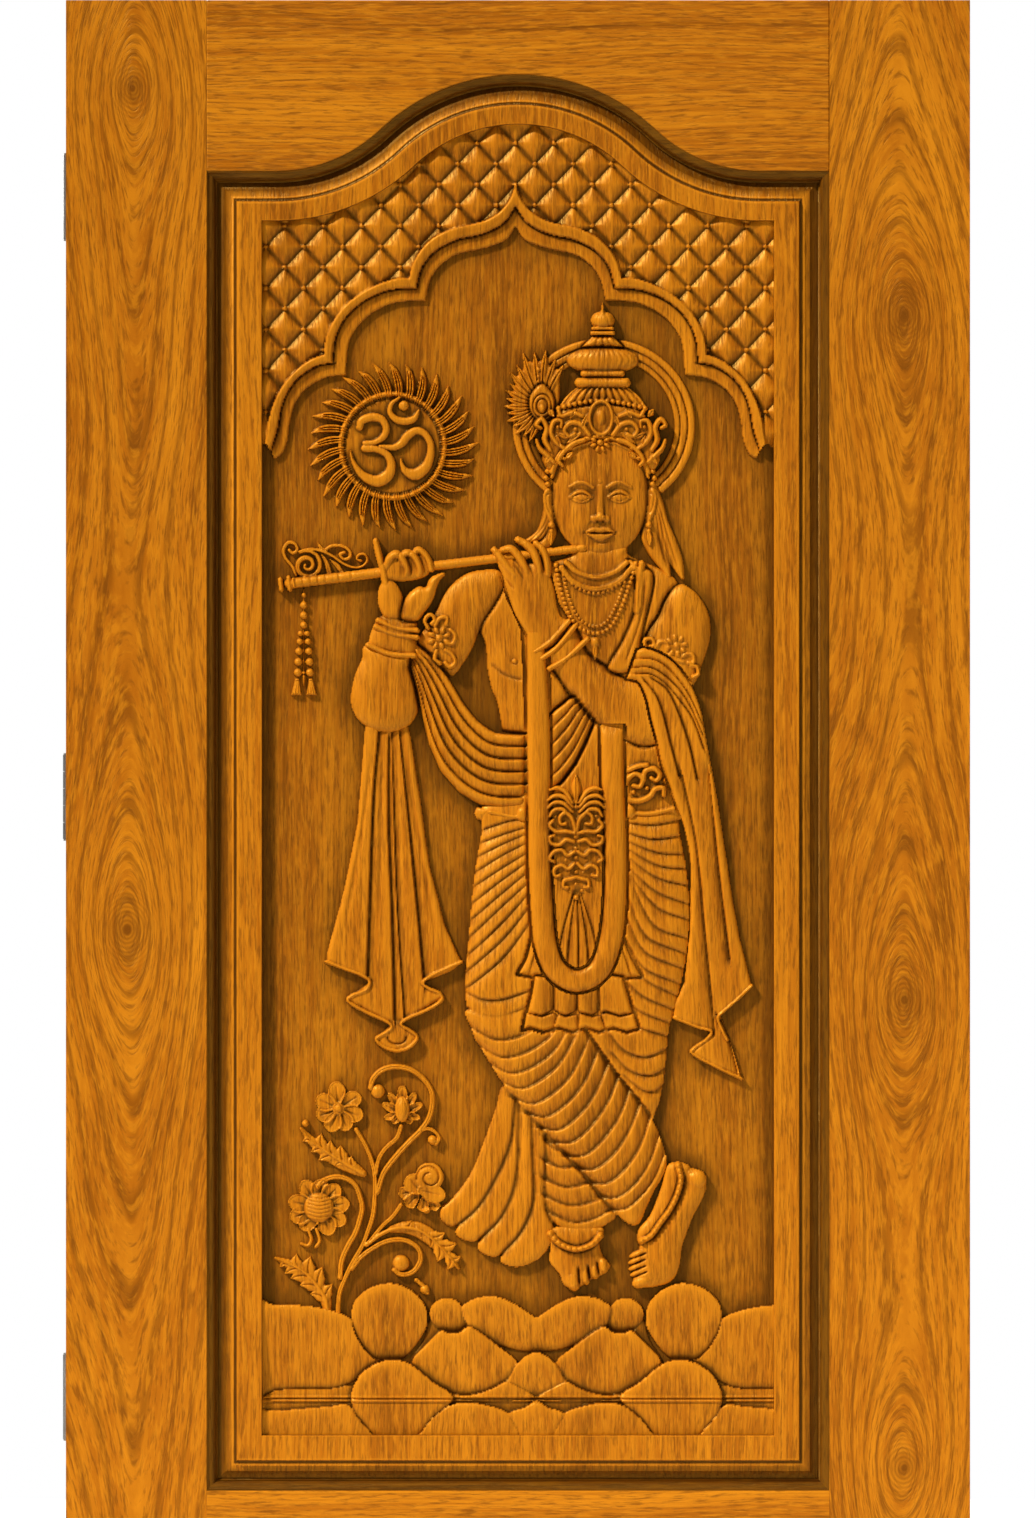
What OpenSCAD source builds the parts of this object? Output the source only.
// Carved temple door leaf: two stiles and two rails, tenoned together, hold one carved panel that
// floats in their grooves. Planted mouldings cover the grooves in front and plain beads behind.
// Three butt hinges carry the leaf.
// X runs across the leaf, Y from the carved front (-Y) to the back (+Y), Z up from its foot.

/* [Leaf] */
// Width of the leaf
leaf_w = 1067; // [889:1:1280]
// Height of the leaf
leaf_h = 1981; // [1650:1:2380]
// Thickness of the stiles and rails
leaf_t = 40; // [36:1:48]
// Width of each stile
stile_w = 166; // [138:1:180]
// Depth of the bottom rail
bottom_rail_h = 222; // [185:1:266]
// Depth of the top rail beside the arch
top_rail_h = 202; // [168:1:242]

/* [Arch of the top rail] */
// How far the arch rises into the top rail
arch_rise = 114; // [95:1:125]
// Level shoulder between the recess's side and the arch
shoulder_w = 17.5; // [8:0.5:30]
// Share of the arch that its crown takes, in percent; its shoulders take the rest
crown_share = 57; // [48:1:66]

/* [Panel] */
// Thickness of the panel's tongue
tongue_t = 12; // [10:0.5:14]
// How far the tongue runs into its groove
tongue_in = 10; // [8:0.5:11]
// How far the raised field stands in front of the frame
field_proud = 2; // [0:0.5:4]
// Bare margin from the frame to the raised field
margin = 37; // [34:1:44]
// Width of the raised rim at the sides and foot
rim_w = 28; // [22:1:30]
// Width of the raised rim along the arch
rim_head_w = 21; // [17:1:25]
// Depth of the carved ground below the rim
ground_depth = 14; // [11:0.5:15]

/* [Joinery] */
// Thickness of the tenons
tenon_t = 14; // [12:0.5:16]
// Length of the tenons
tenon_l = 100; // [80:1:120]
// Depth of the panel groove
groove_d = 12; // [11.5:0.5:14]
// Play of the tongue in its groove, each side
groove_play = 0.15; // [0.1:0.05:0.4]
// Glue room at the end of each mortise
mortise_room = 2; // [1:0.5:4]

/* [Mouldings] */
// Width of the front moulding
mould_w = 13; // [11:0.5:15]
// Width of the back bead
bead_w = 12; // [10:0.5:14]

/* [Hinges] */
// Length of each butt hinge
hinge_l = 100; // [90:1:120]
// Thickness of a hinge flap
flap_t = 2.5; // [2.3:0.1:3]
// Width of a flap, from the knuckle's side
flap_w = 30; // [25:0.5:32]
// Gap between the closed flaps
flap_gap = 1; // [0.6:0.1:1.6]
// How far the jamb flap stands out of the stile's edge
flap_proud = 2; // [1:0.1:3]
// Radius of the hinge pin
pin_r = 4; // [3.3:0.1:4.8]
// Running clearance between pin and knuckle
pin_play = 0.05; // [0.02:0.01:0.08]
// Wall of the knuckle around the pin
knuckle_wall = 2.5; // [2.1:0.1:3]
// Gap between the knuckles and the leaf's back
knuckle_off = 0.5; // [0.4:0.1:2]
// Number of knuckles on one hinge
knuckles = 5; // [3:2:7]
// Clearance between neighbouring knuckles
knuckle_gap = 0.3; // [0.2:0.05:0.5]
// Play of the flaps in their gain, at each end
gain_play = 0.3; // [0.2:0.05:0.5]
// Centre of the top hinge, below the leaf's head
hinge_from_top = 230; // [190:1:300]
// Centre of the bottom hinge, above the leaf's foot
hinge_from_foot = 330; // [275:1:400]
// Screws in each flap
screws = 4; // [3:1:4]
// Distance between neighbouring screws
screw_pitch = 26; // [24:0.5:28]
// Radius of a screw's shank
screw_r = 2.3; // [2:0.1:2.6]
// Height of a screw's countersunk head
screw_head_h = 1.9; // [1.5:0.1:2]
// Length of a screw
screw_l = 30; // [25:1:38]

/* [Hidden] */

// Colours
teak = "#b5701f";
dark_teak = "#8a4f14";
steel = "#8f8f8c";

// Places in the leaf
front_y = -leaf_t / 2;
back_y = leaf_t / 2;
open_half = leaf_w / 2 - stile_w;          // half the opening between the stiles
shoulder_z = leaf_h - top_rail_h;          // the opening's level shoulders
crown_z = shoulder_z + arch_rise;          // the opening's crown
arch_half_span = open_half - margin - rim_w - shoulder_w;
arch_sum = (pow(arch_half_span, 2) + pow(arch_rise, 2)) / (2 * arch_rise);
crown_r = arch_sum * crown_share / 100;    // radius of the arch's crown
shoulder_r = arch_sum - crown_r;           // radius of the arch's shoulders
arch_turn = asin(arch_half_span / arch_sum);
field_y = front_y - field_proud;           // the rim's face
ground_y = field_y + ground_depth;         // the carved ground
tongue_y = tongue_t / 2;
arc_steps = 12;

// ---------------------------------------------------------------- outlines

function arc(cx, cz, r, from, to, n) =
  [for (i = [0:n]) let (a = from + (to - from) * i / n) [cx + r * cos(a), cz + r * sin(a)]];

// The arched head of the opening, moved in by head, from the left shoulder to the right one.
function head_line(head) = concat(
  arc(-arch_half_span, shoulder_z + shoulder_r, shoulder_r + head, -90, -90 + arch_turn, arc_steps),
  [for (i = [1:2 * arc_steps - 1])
    let (a = 90 + arch_turn - arch_turn * i / arc_steps)
    [(crown_r - head) * cos(a), crown_z - crown_r + (crown_r - head) * sin(a)]],
  arc(arch_half_span, shoulder_z + shoulder_r, shoulder_r + head, -90 - arch_turn, -90, arc_steps)
);

// The opening between the frame pieces, moved in by side, head and foot.
function outline(side, head, foot) = concat(
  [[-(open_half - side), bottom_rail_h + foot], [-(open_half - side), shoulder_z - head]],
  head_line(head),
  [[open_half - side, shoulder_z - head], [open_half - side, bottom_rail_h + foot]]
);
function ring(inset) = outline(inset, inset, inset);
function recess_ring(extra) =
  outline(margin + rim_w + extra, margin + rim_head_w + extra, margin + rim_w + extra);
corners = len(ring(0));

// A solid through a stack of like outlines, each [outline, y], from the back to the front.
module skin(layers) {
  m = len(layers);
  polyhedron(
    points = [for (l = layers) for (p = l[0]) [p[0], l[1], p[1]]],
    faces = concat(
      [[for (i = [corners - 1:-1:0]) i]],
      [for (j = [0:m - 2]) for (i = [0:corners - 1]) let (k = (i + 1) % corners)
        [j * corners + i, j * corners + k, (j + 1) * corners + k, (j + 1) * corners + i]],
      [[for (i = [0:corners - 1]) (m - 1) * corners + i]]
    ),
    convexity = 6
  );
}

// A strip of a profile [[inset, y], ...] along the opening's outline, mitred at its corners.
module strip(profile, first, last) {
  m = len(profile);
  lines = [for (p = profile) ring(p[0])];
  n = last - first;
  polyhedron(
    points = [for (i = [first:last]) for (j = [0:m - 1])
      let (q = lines[j][i % corners]) [q[0], profile[j][1], q[1]]],
    faces = concat(
      [[for (j = [0:m - 1]) j]],
      [for (i = [0:n - 1]) for (j = [0:m - 1]) let (k = (j + 1) % m)
        [i * m + k, i * m + j, (i + 1) * m + j, (i + 1) * m + k]],
      [[for (j = [m - 1:-1:0]) n * m + j]]
    ),
    convexity = 6
  );
}

module front_back(from_y, to_y) {
  translate([0, to_y, 0]) rotate([90, 0, 0]) linear_extrude(height = to_y - from_y) children();
}

// ---------------------------------------------------------------- frame

groove_y = tongue_y + groove_play;

// Tenons of a rail on the side given by s, from z0 to z1.
module tenon(s, z0, z1, extra) {
  translate([s > 0 ? open_half : -open_half - tenon_l - extra, -tenon_t / 2, z0])
    cube([tenon_l + extra, tenon_t, z1 - z0]);
}

// Heights of the tenons, clear of the panel groove and the leaf's ends.
tenon_rest = 35;
top_tenon = [shoulder_z + groove_d + 10, leaf_h - tenon_rest];
bottom_tenon = [tenon_rest, bottom_rail_h - groove_d - 10];

module stile(s) {
  color(teak) difference() {
    translate([s > 0 ? open_half : -leaf_w / 2, front_y, 0]) cube([stile_w, leaf_t, leaf_h]);
    translate([s > 0 ? open_half - 1 : -open_half - groove_d, -groove_y, bottom_rail_h - groove_d])
      cube([groove_d + 1, 2 * groove_y, shoulder_z - bottom_rail_h + 2 * groove_d]);
    for (t = [top_tenon, bottom_tenon])
      translate([s > 0 ? open_half - 1 : -open_half - tenon_l - mortise_room, -tenon_t / 2, t[0]])
        cube([tenon_l + mortise_room + 1, tenon_t, t[1] - t[0]]);
  }
}

module left_stile() {
  color(teak) difference() {
    stile(-1);
    for (z = hinge_z) translate([0, 0, z]) {
      translate([-leaf_w / 2 - 1, back_y - flap_w, -hinge_l / 2 - gain_play])
        cube([gain_d + 1, flap_w + 1, hinge_l + 2 * gain_play]);
      screw_places() translate([0, 0, -screw_l - 1])
        cylinder(r = screw_r + pilot_play, h = screw_l + 2, $fn = 24);
    }
  }
}

module top_rail() {
  color(teak) difference() {
    union() {
      front_back(front_y, back_y) polygon(concat(
        [[-open_half, leaf_h], [-open_half, shoulder_z]], head_line(0),
        [[open_half, shoulder_z], [open_half, leaf_h]]));
      for (s = [-1, 1]) tenon(s, top_tenon[0], top_tenon[1], 0);
    }
    front_back(-groove_y, groove_y) polygon(concat(
      [[-open_half - 1, shoulder_z - 1], [-open_half - 1, shoulder_z + groove_d]], head_line(-groove_d),
      [[open_half + 1, shoulder_z + groove_d], [open_half + 1, shoulder_z - 1]]));
  }
}

module bottom_rail() {
  color(teak) difference() {
    union() {
      translate([-open_half, front_y, 0]) cube([2 * open_half, leaf_t, bottom_rail_h]);
      for (s = [-1, 1]) tenon(s, bottom_tenon[0], bottom_tenon[1], 0);
    }
    translate([-open_half - 1, -groove_y, bottom_rail_h - groove_d])
      cube([2 * open_half + 2, 2 * groove_y, groove_d + 1]);
  }
}

// ---------------------------------------------------------------- mouldings

// A planted ovolo that covers the joint between frame and panel; its foot lies on the tongue.
function ovolo(w, foot_y, face_y, s) = concat(
  [[0, foot_y], [0, face_y], [1.5, face_y]],
  [for (i = [0:5]) let (a = 18 * i)
    [2.5 + (w - 4.5) * sin(a), face_y + s * (1 + (abs(face_y - foot_y) - 4.5) * (1 - cos(a)))]],
  [[w, foot_y - s * 3], [w, foot_y]]
);
front_profile = ovolo(mould_w, -tongue_y, front_y + 1, 1);
back_profile = ovolo(bead_w, tongue_y, back_y - 1, -1);
module front_moulding(first, last) { color(dark_teak) strip(front_profile, first, last); }
module back_bead(first, last) {
  color(dark_teak) strip([for (i = [len(back_profile) - 1:-1:0]) back_profile[i]], first, last);
}

// ---------------------------------------------------------------- panel

bevel_in = mould_w + 3;                    // where the bevel starts, clear of the moulding
rise = -tongue_y - field_y;                // from the tongue's face to the rim
panel_profile = [
  [-tongue_in, tongue_y], [-tongue_in, -tongue_y], [bevel_in, -tongue_y],
  [margin - 10, -tongue_y - 0.5 * rise], [margin - 8, -tongue_y - 0.45 * rise],
  [margin - 6, -tongue_y - 0.65 * rise], [margin - 2.5, -tongue_y - 0.82 * rise],
  [margin - 1, -tongue_y - 0.82 * rise], [margin - 0.6, field_y + 0.6], [margin, field_y]
];

// The relief is drawn at one size, on a ground at y = 0 that is 605 wide, from z = 287 at its foot to
// z = 1721 at its shoulders, and 14 deep. It is then fitted to the recess that the sizes above give.
relief_dx = 3;
recess_half = open_half - margin - rim_w;
recess_foot = bottom_rail_h + margin + rim_w;
recess_head = shoulder_z - margin - rim_head_w;
relief_fit = [recess_half / 302.5, ground_depth / 14, (recess_head - recess_foot) / (1721 - 287)];

module on_ground(h) {
  translate([0, 1, 0]) rotate([90, 0, 0]) linear_extrude(height = h + 1) children();
}

// A rounded bar through points [x, z, radius], raised by h.
module limb(points, h, sides = 8) {
  translate([relief_dx, 1, 0]) rotate([90, 0, 0])
    for (i = [0:len(points) - 2]) hull() for (p = [points[i], points[i + 1]])
      translate([p[0], p[1], 0]) cylinder(r1 = p[2], r2 = p[2] * 0.55, h = h + 1, $fn = sides);
}

module slab(points, h) { translate([relief_dx, 0, 0]) on_ground(h) polygon(points); }

function oval(cx, cz, rx, rz, from, to, n) =
  [for (i = [0:n]) let (a = from + (to - from) * i / n) [cx + rx * cos(a), cz + rz * sin(a)]];
function mirrored(line) = [for (i = [len(line) - 1:-1:0]) [-line[i][0], line[i][1]]];

// The cusped arch's left half, from the wall up to its apex, narrowed by d.
function foils(d) = concat(
  oval(-225, 1455, 74 - d, 110 - d, 180, 90, 5),
  oval(-127 - d * 0.6, 1565, 98 - d * 0.4, 88 - d, 180, 90, 5),
  oval(-60, 1650, 67 - d * 0.8, 64 - d, 180, 90, 5),
  oval(-60, 1760 - d * 1.9, 60, 46 - d * 0.9, -90, 0, 5)
);
module under_arch(d) {
  polygon([for (p = concat([[-320, 1440]], foils(d), mirrored(foils(d)), [[320, 1440]])) p]);
}

lattice_x = 22.6;
lattice_z = 24.5;
module lattice() {
  difference() {
    translate([0, 1, 0]) rotate([90, 0, 0])
      for (i = [-14:14]) for (j = [-7:8]) if ((i + j) % 2 != 0)
        translate([i * lattice_x, 1666 + j * lattice_z, 0]) scale([1, lattice_z / lattice_x, 1])
          cylinder(r1 = lattice_x, r2 = 2, h = 9, $fn = 4);
    translate([0, 2, 0]) on_ground(30) under_arch(1);
    translate([0, 2, 0]) on_ground(30) translate([-400, 0]) square([800, 1450]);
  }
}

module cusped_arch() {
  difference() {
    union() {
      on_ground(11) difference() { under_arch(0); under_arch(12); }
      on_ground(5) difference() { under_arch(11); under_arch(25); }
    }
    translate([0, 2, 0]) on_ground(30) translate([-400, 0]) square([800, 1441]);
  }
}

sun_at = [-148, 1455];
module sun() {
  translate([relief_dx, 0, 0]) {
    on_ground(3) translate(sun_at) circle(r = 70, $fn = 60);
    on_ground(6) translate(sun_at) difference() { circle(r = 62, $fn = 48); circle(r = 57, $fn = 48); }
    for (i = [0:29]) on_ground(4.5) translate(sun_at) rotate(i * 12)
      polygon([[60, -6], [78, -7], [98, 3], [78, 5], [60, 5]]);
  }
  limb([[-181, 1473, 4], [-168, 1481, 4], [-155, 1470, 4], [-160, 1457, 4]], 6);
  limb([[-172, 1455, 4], [-150, 1452, 4], [-148, 1432, 5], [-165, 1422, 5], [-188, 1430, 3],
    [-195, 1447, 2]], 6);
  limb([[-152, 1450, 4], [-132, 1463, 4], [-118, 1474, 4], [-104, 1462, 5], [-108, 1440, 5],
    [-128, 1428, 4], [-137, 1440, 2]], 6);
  limb([[-150, 1500, 2], [-140, 1486, 3], [-124, 1487, 3], [-115, 1500, 2]], 6);
  limb([[-136, 1502, 4], [-135.9, 1502, 4]], 6);
}

module halo_and_crown() {
  translate([relief_dx, 0, 0]) on_ground(4) translate([99, 1488])
    difference() { circle(r = 105, $fn = 60); circle(r = 82, $fn = 60); }
  limb([[97, 1452, 64], [97, 1475, 62], [98, 1500, 52]], 11, 12);                  // brow band
  limb([[98, 1500, 52], [98, 1528, 33], [98, 1536, 31]], 11.5, 12);                // fluted dome
  limb([[78, 1560, 20], [98, 1562, 24], [118, 1560, 20]], 12, 12);                 // bulb
  limb([[98, 1580, 16], [98, 1596, 14], [98, 1604, 11], [98, 1620, 3]], 11);       // finial
  limb([[38, 1462, 16], [30, 1500, 30], [24, 1530, 26], [22, 1556, 10]], 6);       // feather
}

module head_and_neck() {
  limb([[95, 1410, 52], [95, 1385, 50], [94, 1352, 26]], 13, 12);
  limb([[94, 1350, 34], [92, 1300, 44]], 9, 12);
  limb([[58, 1385, 10], [42, 1345, 10], [20, 1310, 8]], 5);                        // hair
  limb([[140, 1385, 10], [160, 1330, 14], [178, 1300, 8]], 5);
}

module torso_and_arms() {
  slab([[-30, 1300], [40, 1315], [150, 1315], [215, 1290], [226, 1240], [190, 1160], [185, 1010],
    [-35, 1020], [-20, 1120], [-40, 1220], [-60, 1250]], 8);
  limb([[-35, 1275, 38], [-90, 1215, 32], [-135, 1165, 34], [-160, 1160, 30]], 9, 12);
  limb([[-163, 1150, 32], [-155, 1190, 30], [-145, 1225, 22], [-140, 1245, 20]], 11, 12);
  limb([[-142, 1262, 22], [-130, 1285, 20], [-125, 1310, 12]], 11);
  limb([[-150, 1290, 5], [-155, 1325, 4], [-157, 1341, 3]], 8);
  limb([[193, 1255, 34], [190, 1190, 34], [160, 1125, 28]], 11, 12);
  limb([[150, 1130, 30], [100, 1165, 32], [55, 1208, 22], [35, 1232, 18]], 12.5, 12);
  limb([[25, 1245, 20], [5, 1285, 18], [-10, 1310, 14], [-20, 1325, 8]], 12.5);
  limb([[-5, 1318, 8], [15, 1333, 6], [25, 1338, 5]], 12);
}

module flute() {
  limb([[-278, 1284, 7], [-270, 1285, 6], [78, 1333, 4]], 10);
  limb([[-248, 1275, 3], [-247, 1210, 5], [-247, 1185, 9], [-247, 1165, 12]], 5);
  limb([[-262, 1315, 5], [-248, 1318, 14], [-230, 1310, 12]], 5);
  limb([[-230, 1325, 8], [-205, 1318, 7], [-180, 1312, 6]], 4);
}

module drapery() {
  limb([[-118, 1205, 14], [-105, 1150, 20], [-80, 1100, 32], [-40, 1075, 42], [15, 1070, 44]], 9, 12);
  limb([[55, 1110, 38], [85, 1140, 18]], 9);
  slab([[-178, 1130], [-134, 1140], [-67, 846], [-86, 842], [-88, 805], [-116, 792], [-116, 755],
    [-140, 741], [-168, 755], [-166, 775], [-201, 800], [-200, 832], [-227, 842]], 6);
  slab([[140, 1205], [185, 1205], [212, 1150], [238, 1050], [252, 900], [276, 815], [258, 795], [262, 710],
    [205, 735], [206, 765], [182, 780], [200, 930], [190, 1010], [160, 1120]], 8);
  slab([[-18, 700], [28, 690], [40, 560], [38, 520], [-20, 492], [-50, 508], [-74, 530], [-92, 548],
    [-45, 610]], 6);
}

module legs() {
  limb([[10, 1000, 50], [-2, 920, 58], [-5, 840, 58], [10, 770, 62]], 11, 12);      // crossing leg
  limb([[10, 770, 62], [65, 700, 58], [110, 640, 50], [140, 585, 36], [138, 560, 20]], 12, 12);
  limb([[150, 1000, 44], [155, 900, 50], [150, 800, 46], [135, 720, 38]], 10, 12);  // standing leg
  limb([[70, 620, 38], [70, 580, 38], [68, 556, 34]], 9, 12);
  limb([[67, 540, 24], [62, 508, 28], [68, 476, 18]], 9);
  limb([[90, 500, 16], [100, 486, 8]], 8);
  limb([[180, 590, 16], [198, 590, 18], [185, 540, 20], [165, 500, 24], [148, 478, 16]], 9);
}

module garland_and_girdle() {
  limb([[22, 1225, 12], [24, 1050, 13], [26, 920, 13], [38, 860, 13], [55, 836, 13], [72, 828, 13],
    [90, 838, 13], [104, 862, 13], [114, 910, 13], [113, 1105, 13]], 13);
  limb([[68, 1060, 8], [68, 1025, 30], [68, 985, 28], [68, 950, 20], [68, 922, 4]], 11);
  slab([[-2, 828], [20, 880], [120, 880], [145, 828], [130, 822], [128, 790], [140, 765], [12, 765],
    [20, 785]], 12);
}

module plant() {
  limb([[-214, 432, 6], [-205, 500, 5], [-180, 580, 4], [-175, 640, 4], [-200, 705, 3]], 5);
  limb([[-175, 630, 3], [-160, 680, 3], [-145, 705, 3]], 5);
  limb([[-172, 640, 3], [-140, 700, 3], [-108, 730, 3], [-112, 780, 3], [-145, 795, 3], [-170, 770, 6]], 5);
  limb([[-205, 500, 4], [-195, 560, 4], [-210, 605, 4], [-245, 600, 5]], 5);
  limb([[-190, 540, 3], [-160, 590, 3], [-150, 605, 3]], 5);
  limb([[-195, 520, 3], [-150, 555, 3], [-110, 545, 3], [-95, 510, 5]], 5);
  limb([[-200, 490, 3], [-150, 530, 3], [-130, 510, 3], [-145, 490, 8]], 5);
  limb([[-225, 450, 3], [-250, 485, 12], [-275, 505, 4]], 4);
  limb([[-205, 665, 2], [-235, 680, 10], [-258, 700, 3]], 4);
  for (f = [[-215, 734, 26], [-145, 732, 16], [-242, 622, 28], [-118, 640, 20]])
    limb([[f[0], f[1], f[2]], [f[0] + 0.1, f[1], f[2]]], 5, 12);
}

module rocks() {
  translate([relief_dx, 0, 0]) {
    on_ground(10) for (c = [[-255, 368, 66, 70], [-152, 415, 46, 46], [-85, 420, 28, 26], [-25, 410, 58, 46],
      [60, 410, 58, 46], [122, 420, 28, 26], [190, 415, 46, 50], [270, 370, 62, 70]])
      translate([c[0], c[1]]) scale([c[2], c[3]]) circle(r = 1, $fn = 36);
    on_ground(11) for (c = [[-150, 332, 62, 42], [22, 345, 34, 34], [190, 332, 62, 42], [-60, 300, 60, 26],
      [105, 300, 60, 26], [-65, 372, 64, 42], [105, 372, 64, 42]])
      translate([c[0], c[1]]) scale([c[2], c[3]]) circle(r = 1, $fn = 36);
    on_ground(8) translate([-310, 275]) square([614, 110]);
  }
}

module relief() {
  intersection() {
    translate([0, ground_y, recess_foot]) scale(relief_fit) translate([0, 0, -287]) {
      lattice();
      cusped_arch();
      sun();
      halo_and_crown();
      head_and_neck();
      torso_and_arms();
      flute();
      drapery();
      legs();
      garland_and_girdle();
      plant();
      rocks();
    }
    front_back(field_y - 1, ground_y + 2) polygon(recess_ring(0.5));
  }
}

module carved_panel() {
  color(teak) {
    difference() {
      skin([for (p = panel_profile) [ring(p[0]), p[1]]]);
      skin([[recess_ring(2.5), ground_y], [recess_ring(0), field_y - 0.2]]);
    }
    relief();
  }
}

// ---------------------------------------------------------------- hinges

hinge_z = [hinge_from_foot, (leaf_h - hinge_from_top + hinge_from_foot) / 2, leaf_h - hinge_from_top];
gain_d = 2 * flap_t + flap_gap - flap_proud;             // depth of the gain in the stile's edge
leaf_flap_x = -leaf_w / 2 + gain_d - flap_t;             // the leaf flap's outer face
jamb_flap_x = leaf_flap_x - flap_gap - flap_t;           // the jamb flap's outer face
pin_x = leaf_flap_x - flap_gap / 2;
knuckle_r = pin_r + knuckle_wall;
pin_y = back_y + knuckle_off + knuckle_r;
knuckle_l = (hinge_l - (knuckles - 1) * knuckle_gap) / knuckles;
pilot_play = 0.05;
jamb_hole_play = 0.4;                                    // the jamb's screws drop in loosely
head_r = screw_r + screw_head_h;
head_in = 0.1;                                           // how far the head lies under the flap's face
screw_y = back_y - flap_w / 2 + 1;

// Puts children, drawn along -Z from a flap's outer face, at each screw of the leaf flap.
module screw_places() {
  for (i = [0:screws - 1])
    translate([leaf_flap_x, screw_y, (i - (screws - 1) / 2) * screw_pitch]) rotate([0, -90, 0]) children();
}

// A flap with its outer face at x0 and every other knuckle from the first one given.
module flap(x0, first) {
  translate([x0, back_y - flap_w, -hinge_l / 2]) cube([flap_t, flap_w, hinge_l]);
  for (i = [first:2:knuckles - 1]) translate([0, 0, -hinge_l / 2 + i * (knuckle_l + knuckle_gap)]) {
    translate([x0, back_y - 1, 0]) cube([flap_t, pin_y - back_y + 1, knuckle_l]);
    translate([pin_x, pin_y, 0]) cylinder(r = knuckle_r, h = knuckle_l, $fn = 48);
  }
}

module pin_bore() {
  translate([pin_x, pin_y, -hinge_l / 2 - 1]) cylinder(r = pin_r + pin_play, h = hinge_l + 2, $fn = 48);
}

// A countersunk hole through a flap whose face is at z = 0.
module screw_hole(play = pilot_play) {
  translate([0, 0, -flap_t - 1]) cylinder(r = screw_r + play, h = flap_t + 2, $fn = 24);
  translate([0, 0, -head_in - screw_head_h])
    cylinder(r1 = screw_r + play, r2 = head_r + play + head_in + 0.1,
      h = screw_head_h + head_in + 0.1, $fn = 32);
}

module leaf_flap() {
  color(steel) difference() {
    flap(leaf_flap_x, 1);
    pin_bore();
    screw_places() screw_hole();
  }
}

module jamb_flap() {
  color(steel) difference() {
    flap(jamb_flap_x, 0);
    pin_bore();
    for (i = [0:screws - 1])
      translate([jamb_flap_x + flap_t, screw_y, (i - (screws - 1) / 2) * screw_pitch])
        rotate([0, 90, 0]) screw_hole(jamb_hole_play);
  }
}

module hinge_pin() {
  color(steel) translate([pin_x, pin_y, -hinge_l / 2]) {
    cylinder(r = pin_r, h = hinge_l, $fn = 48);
    for (z = [-2, hinge_l]) translate([0, 0, z]) cylinder(r = knuckle_r - 0.6, h = 2, $fn = 48);
  }
}

module hinge_screws() {
  color(steel) screw_places() translate([0, 0, -head_in]) {
    translate([0, 0, -screw_head_h]) cylinder(r1 = screw_r, r2 = head_r, h = screw_head_h, $fn = 32);
    translate([0, 0, -screw_l + 4]) cylinder(r = screw_r, h = screw_l - 4 - screw_head_h, $fn = 24);
    translate([0, 0, -screw_l]) cylinder(r1 = 0.4, r2 = screw_r, h = 4, $fn = 24);
  }
}

module at_hinge(i) { translate([0, 0, hinge_z[i]]) children(); }

// ---------------------------------------------------------------- nodes

left_stile();
stile(1);  // right_stile
top_rail();
bottom_rail();
carved_panel();
front_moulding(0, 1);  // front_moulding_left
front_moulding(1, corners - 2);  // front_moulding_arch
front_moulding(corners - 2, corners - 1);  // front_moulding_right
front_moulding(corners - 1, corners);  // front_moulding_foot
back_bead(0, 1);  // back_bead_left
back_bead(1, corners - 2);  // back_bead_arch
back_bead(corners - 2, corners - 1);  // back_bead_right
back_bead(corners - 1, corners);  // back_bead_foot
at_hinge(0) leaf_flap();  // bottom_hinge_leaf_flap
at_hinge(0) jamb_flap();  // bottom_hinge_jamb_flap
at_hinge(0) hinge_pin();  // bottom_hinge_pin
at_hinge(0) hinge_screws();  // bottom_hinge_screws
at_hinge(1) leaf_flap();  // middle_hinge_leaf_flap
at_hinge(1) jamb_flap();  // middle_hinge_jamb_flap
at_hinge(1) hinge_pin();  // middle_hinge_pin
at_hinge(1) hinge_screws();  // middle_hinge_screws
at_hinge(2) leaf_flap();  // top_hinge_leaf_flap
at_hinge(2) jamb_flap();  // top_hinge_jamb_flap
at_hinge(2) hinge_pin();  // top_hinge_pin
at_hinge(2) hinge_screws();  // top_hinge_screws
